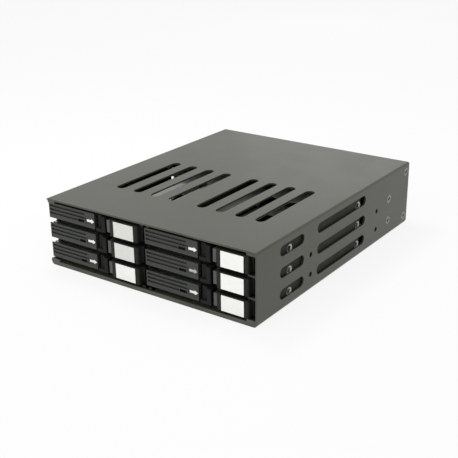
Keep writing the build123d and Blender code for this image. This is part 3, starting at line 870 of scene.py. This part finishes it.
@dataclass
class LeverForm:
    """Moulded lever of a tray: a bar with finger grooves and a knuckle for its pin.

    Attributes, in millimetres where nothing else is said:
        node: name of the CAD lever that it is modelled on.
        thick: front to back.
        knuckle: radius of the knuckle, a little inside the bar's end so that the round fits.
        knuckle_front: how far in front of the pin's middle the knuckle starts.
        pivot_in: distance from the bar's left end to the pin's middle.
        pivot_back: distance from the bar's face back to the pin's middle.
        end_back: how far behind the pin's middle the thin left end of the bar reaches.
        groove_rises: height of each groove above the bar's middle.
        groove_ends: distance from each groove's end to the bar's right end.
        groove_height, groove_depth: size of a groove.
        end_wall: what is left of the bar at the grooves' left ends.
        slot_inset, slot_width, slot_height, slot_depth: the catch slot below the grooves.
        pad_inset, pad_width, pad_height, pad_depth: the sunk pad that carries the arrow.
        pad_drop: how far the pad's middle lies below the bar's middle.
        pocket_radius, pocket_height: the room for an ear of the tray front.
        pocket_faces: number of faces round a pocket's corner.
        bore: radius of the pin's hole.
        rod_sides: number of sides of a rod.
        past: how far a cutter reaches out of what it cuts.
        edge: how far the moulded rounds reach from the edges.
        sharp: edges sharper than this are rounded, in degrees.
    """

    node: str
    thick: float = 3.2
    knuckle: float = 2.2
    knuckle_front: float = 1.0
    pivot_in: float = 2.4
    pivot_back: float = 2.2
    end_back: float = 0.3
    groove_rises: tuple[float, float, float] = (2.95, 0.7, -1.55)
    groove_ends: tuple[float, float, float] = (7.7, 7.7, 13.3)
    groove_height: float = 1.05
    groove_depth: float = 1.0
    end_wall: float = 0.9
    slot_inset: float = 8.0
    slot_width: float = 4.8
    slot_height: float = 1.6
    slot_depth: float = 2.6
    pad_inset: float = 0.3
    pad_width: float = 6.8
    pad_height: float = 3.6
    pad_depth: float = 0.35
    pad_drop: float = 0.5
    pocket_radius: float = 1.6
    pocket_height: float = 1.15
    pocket_faces: int = 6
    bore: float = 0.8
    rod_sides: int = 40
    past: float = 1.0
    edge: float = 0.14
    sharp: float = 40.0

    def bar(self, low: Vector, high: Vector, pivot: Vector) -> Object:
        """Models the plain bar, which is thinner left of its pin.

        Args:
            low: lowest corner of the lever, in metres.
            high: its highest corner.
            pivot: middle of its pin.

        Returns:
            The bar, in object mode.
        """
        thin = pivot.y + mm(self.end_back)
        bar = Modeller.add_block("lever_moulding", low, Vector((high.x, thin, high.z)))
        bpy.ops.mesh.select_all(action="SELECT")
        bpy.ops.mesh.bisect(plane_co=pivot, plane_no=(1.0, 0.0, 0.0))
        Modeller.select_faces(bar, lambda f: f.normal.y > SQUARE and f.center.x > pivot.x)
        growth = low.y + mm(self.thick) - thin
        bpy.ops.mesh.extrude_region_move(TRANSFORM_OT_translate={"value": (0.0, growth, 0.0)})
        bpy.ops.object.mode_set(mode="OBJECT")
        return bar

    def rod(self, radius: float, length: float, spot: Vector) -> Object:
        """Adds an upright rod, in edit mode and selected all over.

        Args:
            radius: its radius, in metres.
            length: its length.
            spot: its middle.

        Returns:
            The rod.
        """
        Modeller.deselect()
        bpy.ops.mesh.primitive_cylinder_add(
            vertices=self.rod_sides, radius=radius, depth=length, location=spot
        )
        rod = bpy.context.active_object
        bpy.ops.object.transform_apply(location=True, rotation=True, scale=True)
        bpy.ops.object.mode_set(mode="EDIT")
        bpy.ops.mesh.select_all(action="SELECT")
        return rod

    def recess(
        self,
        lever: Object,
        inset: float,
        width: float,
        rise: float,
        size: tuple[float, float],
    ) -> None:
        """Cuts a sunk box into the face of the lever.

        Args:
            lever: the lever so far.
            inset: distance from the lever's right end, in millimetres.
            width: width of the box.
            rise: height of its middle above the lever's middle.
            size: its height and its depth.
        """
        low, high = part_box(self.node)
        middle = (low.z + high.z) / 2.0 + mm(rise)
        height, depth = size
        tool = Modeller.add_block(
            "recess",
            Vector((high.x - mm(inset + width), low.y - mm(self.past), middle - mm(height) / 2.0)),
            Vector((high.x - mm(inset), low.y + mm(depth), middle + mm(height) / 2.0)),
        )
        Modeller.cut_with(lever, tool, "DIFFERENCE")

    def pocket(self, lever: Object, pivot: Vector, bottom: float, top: float) -> None:
        """Cuts the room for an ear, behind the skin of the lever's left end.

        Args:
            lever: the lever so far.
            pivot: middle of the pin, in metres.
            bottom: height of the room's underside.
            top: height of its upper side.
        """
        reach = mm(self.pocket_radius)
        beyond = mm(2.0 * self.knuckle)
        tool = Modeller.add_block(
            "pocket",
            Vector((pivot.x - beyond, pivot.y - reach, bottom)),
            Vector((pivot.x + reach, pivot.y + beyond, top)),
        )
        Modeller.select_edges(
            tool, lambda a, b: (a - b).xy.length < mm(HAIR) and a.x > pivot.x and a.y < pivot.y
        )
        bpy.ops.mesh.bevel(offset=reach, segments=self.pocket_faces)
        Modeller.cut_with(lever, tool, "DIFFERENCE")

    def model(self) -> Object:
        """Models the lever once, where its CAD lever stands.

        Returns:
            The lever.
        """
        low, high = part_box(self.node)
        middle = (low.z + high.z) / 2.0
        pivot = Vector((low.x + mm(self.pivot_in), low.y + mm(self.pivot_back), middle))
        lever = self.bar(low, high, pivot)
        knuckle = self.rod(mm(self.knuckle), high.z - low.z, pivot)
        bpy.ops.mesh.bisect(
            plane_co=pivot - Vector((0.0, mm(self.knuckle_front), 0.0)),
            plane_no=(0.0, 1.0, 0.0),
            use_fill=True,
            clear_inner=True,
        )
        Modeller.cut_with(lever, knuckle, "UNION")
        long = (high.x - low.x) * MM_PER_METRE - self.end_wall
        groove = (self.groove_height, self.groove_depth)
        slot = (self.slot_height, self.slot_depth)
        pad = (self.pad_height, self.pad_depth)
        for rise, end in zip(self.groove_rises, self.groove_ends):
            self.recess(lever, end, long - end, rise, groove)
        self.recess(lever, self.slot_inset, self.slot_width, self.groove_rises[-1], slot)
        self.recess(lever, self.pad_inset, self.pad_width, -self.pad_drop, pad)
        deep, past = mm(self.pocket_height), mm(self.past)
        self.pocket(lever, pivot, high.z - deep, high.z + past)
        self.pocket(lever, pivot, low.z - past, low.z + deep)
        bore = self.rod(mm(self.bore), 2.0 * (high.z - low.z), pivot)
        Modeller.cut_with(lever, bore, "DIFFERENCE")
        Modeller.round_edges(lever, mm(self.edge), self.sharp)
        return lever


@dataclass
class ArrowPrint:
    """White arrow that is printed on the flat pad at each lever's free end.

    Attributes, in millimetres:
        form: the lever, whose pad carries the arrow.
        length: whole length.
        head_length: length of its head.
        head_height: height of its head, twice the shaft's.
        inset: distance from its tip to the lever's end.
        ink: thickness of the print, of which half stands proud.
    """

    form: LeverForm
    length: float = 5.5
    head_length: float = 2.1
    head_height: float = 2.8
    inset: float = 0.7
    ink: float = 0.06

    def model(self) -> Object:
        """Models one arrow about the frame's origin, its tip towards +X.

        Returns:
            The arrow, whose tip is at x = 0 and whose middle is at z = 0.
        """
        Modeller.deselect()
        # Three sides on a radius of 1 make a head that is 1.5 long and the root of 3 high.
        bpy.ops.mesh.primitive_cylinder_add(
            vertices=3,
            radius=1.0,
            depth=mm(self.ink),
            location=(0.0, 0.0, 0.0),
            rotation=(math.radians(90.0), math.radians(90.0), 0.0),
        )
        arrow = bpy.context.active_object
        bpy.ops.object.transform_apply(location=False, rotation=True, scale=False)
        long, high = 1.5, math.sqrt(3.0)
        bpy.ops.object.mode_set(mode="EDIT")
        bpy.ops.mesh.select_all(action="SELECT")
        bpy.ops.transform.resize(
            value=(mm(self.head_length) / long, 1.0, mm(self.head_height) / high)
        )
        bpy.ops.object.mode_set(mode="OBJECT")
        rear = min(v.co.x for v in arrow.data.vertices)
        bpy.ops.object.mode_set(mode="EDIT")
        Modeller.select_edges(
            arrow, lambda a, b: max(a.x, b.x) - rear < mm(HAIR) < abs(a.z - b.z)
        )
        # Three cuts quarter the head's back, and the shaft grows from its two middle quarters.
        bpy.ops.mesh.subdivide(number_cuts=3)
        quarter = mm(self.head_height) / 4.0
        Modeller.select_faces(arrow, lambda f: f.normal.x < -SQUARE and abs(f.center.z) < quarter)
        shaft = mm(self.length - self.head_length)
        bpy.ops.mesh.extrude_region_move(TRANSFORM_OT_translate={"value": (-shaft, 0.0, 0.0)})
        bpy.ops.object.mode_set(mode="OBJECT")
        front = max(v.co.x for v in arrow.data.vertices)
        arrow.data.transform(Matrix.Translation((-front, 0.0, 0.0)))
        return arrow

    def place_on(self, lever: str) -> Vector:
        """Point on a lever's pad where the arrow's tip goes, in metres.

        Args:
            lever: name of the lever's CAD node.

        Returns:
            The point.
        """
        low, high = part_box(lever)
        middle = (low.z + high.z) / 2.0
        depth, drop = mm(self.form.pad_depth), mm(self.form.pad_drop)
        return Vector((high.x - mm(self.inset), low.y + depth, middle - drop))


PATTERN_BAY = "right_bottom"
# How far the rounds of the bay's copied pieces reach from their edges, in millimetres.
MOULDED_EDGES = {"tray_front": 0.2, "latch": 0.3, "light_pipe": 0.2}
MOULDED_FINISHES = {
    # The tray fronts' deep colour is painted shade of their place behind the levers.
    "tray_front": FRONT_SHADED_ABS,
    # The latches' deep colour is painted shade of their recess behind the levers.
    "latch": LATCH_SHADED_ABS,
    "light_pipe": SMOKED_ACRYLIC,
    "lever": BLACK_ABS,
}


@dataclass
class Bay:
    """One drive bay: tray, tray front, light pipe, label, lever with its pin, and latch.

    Attributes:
        side: the column that it is in.
        row: the row that it is in.
        card: finish of its label.
        ink: finish of the arrow on its lever.
    """

    side: Side
    row: Row
    card: Finish = LABEL_CARD
    ink: Finish = WHITE_INK

    @property
    def name(self) -> str:
        """The bay's name, as the CAD nodes carry it."""
        return f"{self.side.value}_{self.row.value}"

    def dress(self, paints: Paintbox) -> None:
        """Gives the bay's plain CAD nodes their finishes.

        Args:
            paints: the finishes.
        """
        # The trays' near-black paint is painted shade.
        paints.paint_nodes(TRAY_SHADE_PAINT, f"tray_{self.name}")
        paints.paint_nodes(ZINC_STEEL, f"lever_pin_{self.name}")
        paints.paint_nodes(self.card, f"label_{self.name}")

    def build(self, patterns: dict[str, Object], paints: Paintbox) -> None:
        """Puts the finished pieces in the place of the bay's nodes.

        Args:
            patterns: the pieces that are modelled once, on the pattern bay, by their kind.
            paints: the finishes.
        """
        for kind, pattern in patterns.items():
            node = f"{kind}_{self.name}"
            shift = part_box(node)[0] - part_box(f"{kind}_{PATTERN_BAY}")[0]
            piece = Modeller.copy_to(pattern, f"{node}_finished", shift)
            paints.paint(piece, MOULDED_FINISHES[kind])
            stand_for(piece, node)

    def mark(self, arrow: Object, arrows: ArrowPrint, paints: Paintbox) -> None:
        """Prints the bay's arrow on its lever.

        Args:
            arrow: the arrow that is modelled once.
            arrows: the arrow's sizes.
            paints: the finishes.
        """
        lever = f"lever_{self.name}"
        piece = Modeller.copy_to(arrow, f"arrow_{self.name}", arrows.place_on(lever))
        paints.paint(piece, self.ink)
        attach(piece, lever)
        log.info("%s: printed on %s", piece.name, lever)


@dataclass
class Enclosure:
    """The folded case with what is fixed in it.

    Attributes:
        rail_edge: how far the rounds of the moulded side guides reach, in millimetres.
    """

    rail_edge: float = 0.2

    def dress(self, paints: Paintbox) -> None:
        """Gives the case's CAD nodes their finishes.

        Args:
            paints: the finishes.
        """
        paints.paint_nodes(POWDER_COAT, "outer_shell", "base_plate", "rear_panel")
        paints.paint_nodes(ZINC_STEEL, "backplane_bracket", "board_screws")
        paints.paint_nodes(ANODISED, "centre_divider")
        paints.paint_nodes(BLACK_ZINC, "case_screws", "fan_screws")
        paints.round_nodes(ACETAL, self.rail_edge, "side_guides")


@dataclass
class Backplane:
    """The circuit board behind the bays, with its connectors.

    Attributes:
        housing_edge: how far the rounds of the connectors reach, in millimetres.
    """

    housing_edge: float = 0.12

    def dress(self, paints: Paintbox) -> None:
        """Gives the board's CAD nodes their finishes.

        Args:
            paints: the finishes.
        """
        housings = ("drive_receptacles", "data_sockets", "power_sockets", "fan_headers")
        paints.paint_nodes(BOARD, "backplane_board")
        paints.round_nodes(NYLON, self.housing_edge, *housings)
        paints.paint_nodes(NICKEL_BRASS, "board_standoffs")


@dataclass
class FanPair:
    """The two fans behind the board.

    Attributes:
        moulded_edge: how far the rounds of frames and rotors reach, in millimetres.
    """

    moulded_edge: float = 0.15

    def dress(self, paints: Paintbox) -> None:
        """Gives the fans' CAD nodes their finishes.

        Args:
            paints: the finishes.
        """
        pieces = ("fan_frames", "fan_rotor_left", "fan_rotor_right")
        paints.round_nodes(FAN_POLYESTER, self.moulded_edge, *pieces)


@dataclass
class PhotoCamera:
    """The camera of the photograph, found from the object's own edges.

    Attributes:
        azimuth: turn round the object, in degrees, 0 looking along +Y.
        elevation: angle above the horizon, in degrees.
        roll: turn about the line of sight, in degrees.
        target: point that the line of sight goes through, in millimetres.
        distance: from that point to the camera, in millimetres.
        lens: focal length, in millimetres.
        sensor: width of the sensor, in millimetres.
        shift: offset of the line of sight from the frame's middle, in frame widths.
        clip: nearest and farthest distance that it sees, in metres.
    """

    azimuth: float = 34.97
    elevation: float = 22.0
    roll: float = -0.544
    target: tuple[float, float, float] = (5.5, -9.05, 11.65)
    distance: float = 538.13
    lens: float = 69.21
    sensor: float = 36.0
    shift: tuple[float, float] = (-0.0177, 0.0037)
    clip: tuple[float, float] = (0.01, 50.0)

    def place(self) -> None:
        """Adds the camera and makes it the scene's."""
        turn, rise, roll = (
            math.radians(angle) for angle in (self.azimuth, self.elevation, self.roll)
        )
        back = Vector(
            (math.sin(turn) * math.cos(rise), -math.cos(turn) * math.cos(rise), math.sin(rise))
        )
        level = Vector((math.cos(turn), math.sin(turn), 0.0))
        up = back.cross(level)
        right = level * math.cos(roll) + up * math.sin(roll)
        up = back.cross(right)
        data = bpy.data.cameras.new("photo_camera")
        data.lens = self.lens
        data.sensor_width = self.sensor
        data.shift_x, data.shift_y = self.shift
        data.clip_start, data.clip_end = self.clip
        camera = bpy.data.objects.new("photo_camera", data)
        bpy.context.scene.collection.objects.link(camera)
        turned = Matrix((right, up, back)).transposed().to_4x4()
        spot = Vector([mm(v) for v in self.target]) + back * mm(self.distance)
        camera.matrix_world = Matrix.Translation(spot) @ turned
        bpy.context.scene.camera = camera


@dataclass
class Lamp:
    """A square softbox that looks at the object.

    Attributes:
        name: its name.
        spot: its place, in metres.
        size: its side, in metres.
        power: its power, in watts.
    """

    name: str
    spot: tuple[float, float, float]
    size: float
    power: float

    def hang(self, aim: Vector) -> None:
        """Adds the lamp, facing a point.

        Args:
            aim: the point, in metres.
        """
        data = bpy.data.lights.new(self.name, "AREA")
        data.shape = "SQUARE"
        data.size = self.size
        data.energy = self.power
        lamp = bpy.data.objects.new(self.name, data)
        bpy.context.scene.collection.objects.link(lamp)
        lamp.location = self.spot
        lamp.rotation_mode = "QUATERNION"
        lamp.rotation_quaternion = (aim - Vector(self.spot)).to_track_quat("-Z", "Y")


@dataclass
class Studio:
    """A pale floor under a white surround, with four softboxes.

    Attributes:
        floor_size: side of the floor, in metres.
        floor_gap: how far the floor lies below the object, in millimetres.
        floor_colour: its colour, sRGB hex.
        floor_veil: share of plain white that the camera sees over the lit floor.
        ambient: strength of the surround as a light.
        lamps: the softboxes.
    """

    floor_size: float = 8.0
    floor_gap: float = 0.05
    floor_colour: str = "#F3F3F1"
    floor_veil: float = 0.85
    ambient: float = 0.7
    lamps: list[Lamp] = field(
        default_factory=lambda: [
            Lamp("softbox_above", (-0.2, 0.06, 0.48), 0.12, 0.76),
            Lamp("softbox_behind", (-0.38, 0.85, 0.24), 0.3, 0.15),
            Lamp("softbox_front", (-0.2, -1.1, 0.6), 0.7, 3.6),
            Lamp("softbox_side", (1.2, -0.5, 0.45), 0.6, 1.5),
        ]
    )

    def seen_share(self, tree: NodeTree, most: float) -> NodeSocket:
        """A share for camera, mirror and clear rays only.

        Args:
            tree: the node tree of the world or of the floor.
            most: the share that those rays get.

        Returns:
            The socket that holds the share, 0 for every other ray.
        """
        path = add_node(tree, "ShaderNodeLightPath")
        seen = path.outputs["Is Camera Ray"]
        for kind in ("Is Glossy Ray", "Is Transmission Ray"):
            either = add_node(
                tree,
                "ShaderNodeMath",
                settings={"operation": "ADD", "use_clamp": True},
                links={0: seen, 1: path.outputs[kind]},
            )
            seen = either.outputs["Value"]
        share = add_node(
            tree,
            "ShaderNodeMath",
            settings={"operation": "MULTIPLY"},
            values={1: most},
            links={0: seen},
        )
        return share.outputs["Value"]

    def surround(self) -> None:
        """Makes the world: white to look at, and a soft even light."""
        world = bpy.data.worlds.new("white_surround")
        world.use_nodes = True
        bpy.context.scene.world = world
        tree = world.node_tree
        tree.nodes.clear()
        light, white = (
            add_node(tree, "ShaderNodeBackground", values={"Color": WHITE, "Strength": strength})
            for strength in (self.ambient, 1.0)
        )
        mixed = add_node(
            tree,
            "ShaderNodeMixShader",
            links={
                0: self.seen_share(tree, 1.0),
                1: light.outputs["Background"],
                2: white.outputs["Background"],
            },
        )
        add_node(tree, "ShaderNodeOutputWorld", links={"Surface": mixed.outputs["Shader"]})

    def floor(self) -> None:
        """Lays the floor, pale matte paper that keeps the object's shadow."""
        Modeller.deselect()
        bpy.ops.mesh.primitive_plane_add(
            size=self.floor_size, location=(0.0, 0.0, cad_low.z - mm(self.floor_gap))
        )
        floor = bpy.context.active_object
        floor.name = "floor"
        bpy.ops.object.transform_apply(location=True, rotation=True, scale=True)
        paper = bpy.data.materials.new("pale_paper")
        paper.use_nodes = True
        tree = paper.node_tree
        tree.nodes.clear()
        lit = add_node(tree, "ShaderNodeBsdfDiffuse", values={"Color": linear(self.floor_colour)})
        white = add_node(tree, "ShaderNodeEmission", values={"Color": WHITE, "Strength": 1.0})
        mixed = add_node(
            tree,
            "ShaderNodeMixShader",
            links={
                0: self.seen_share(tree, self.floor_veil),
                1: lit.outputs["BSDF"],
                2: white.outputs["Emission"],
            },
        )
        add_node(tree, "ShaderNodeOutputMaterial", links={"Surface": mixed.outputs["Shader"]})
        floor.data.materials.append(paper)
        log.info("floor laid")

    def set_up(self) -> None:
        """Lays the floor, makes the surround and hangs the softboxes."""
        self.surround()
        self.floor()
        for lamp in self.lamps:
            lamp.hang((cad_low + cad_high) / 2.0)
        bpy.context.scene.view_settings.view_transform = "Standard"


def bay_patterns(form: LeverForm) -> dict[str, Object]:
    """Models what repeats in every bay, once, where the pattern bay stands.

    Args:
        form: the lever's form.

    Returns:
        The pieces, by the kind of node that they stand for.
    """
    made = {
        kind: Modeller.rounded_copy(f"{kind}_{PATTERN_BAY}", mm(width))
        for kind, width in MOULDED_EDGES.items()
    }
    made["lever"] = form.model()
    return made


def bays() -> list[Bay]:
    """Lists the bays, with the cards greyed as painted shade and the print that has rubbed thin.

    Returns:
        The six bays, column by column from the bottom up.
    """
    made = [Bay(side, row) for side in Side for row in Row]
    for bay in made:
        # The upper two labels of the left column get a card greyed as painted shade.
        if bay.side is Side.LEFT and bay.row is not Row.BOTTOM:
            bay.card = SHADED_CARD
        if bay.side is Side.RIGHT and bay.row is Row.MIDDLE:
            bay.ink = RUBBED_INK
    return made


def main() -> None:
    """Builds and dresses the sub-assemblies in order."""
    logging.basicConfig(level=logging.INFO, format="%(message)s")
    PhotoCamera().place()
    Studio().set_up()
    paints = Paintbox()
    Enclosure().dress(paints)
    Backplane().dress(paints)
    FanPair().dress(paints)
    form = LeverForm(f"lever_{PATTERN_BAY}")
    patterns = bay_patterns(form)
    arrows = ArrowPrint(form)
    arrow = arrows.model()
    for bay in bays():
        bay.dress(paints)
        bay.build(patterns, paints)
        bay.mark(arrow, arrows, paints)
    for pattern in (*patterns.values(), arrow):
        bpy.data.objects.remove(pattern)


if __name__ == "__main__":
    main()
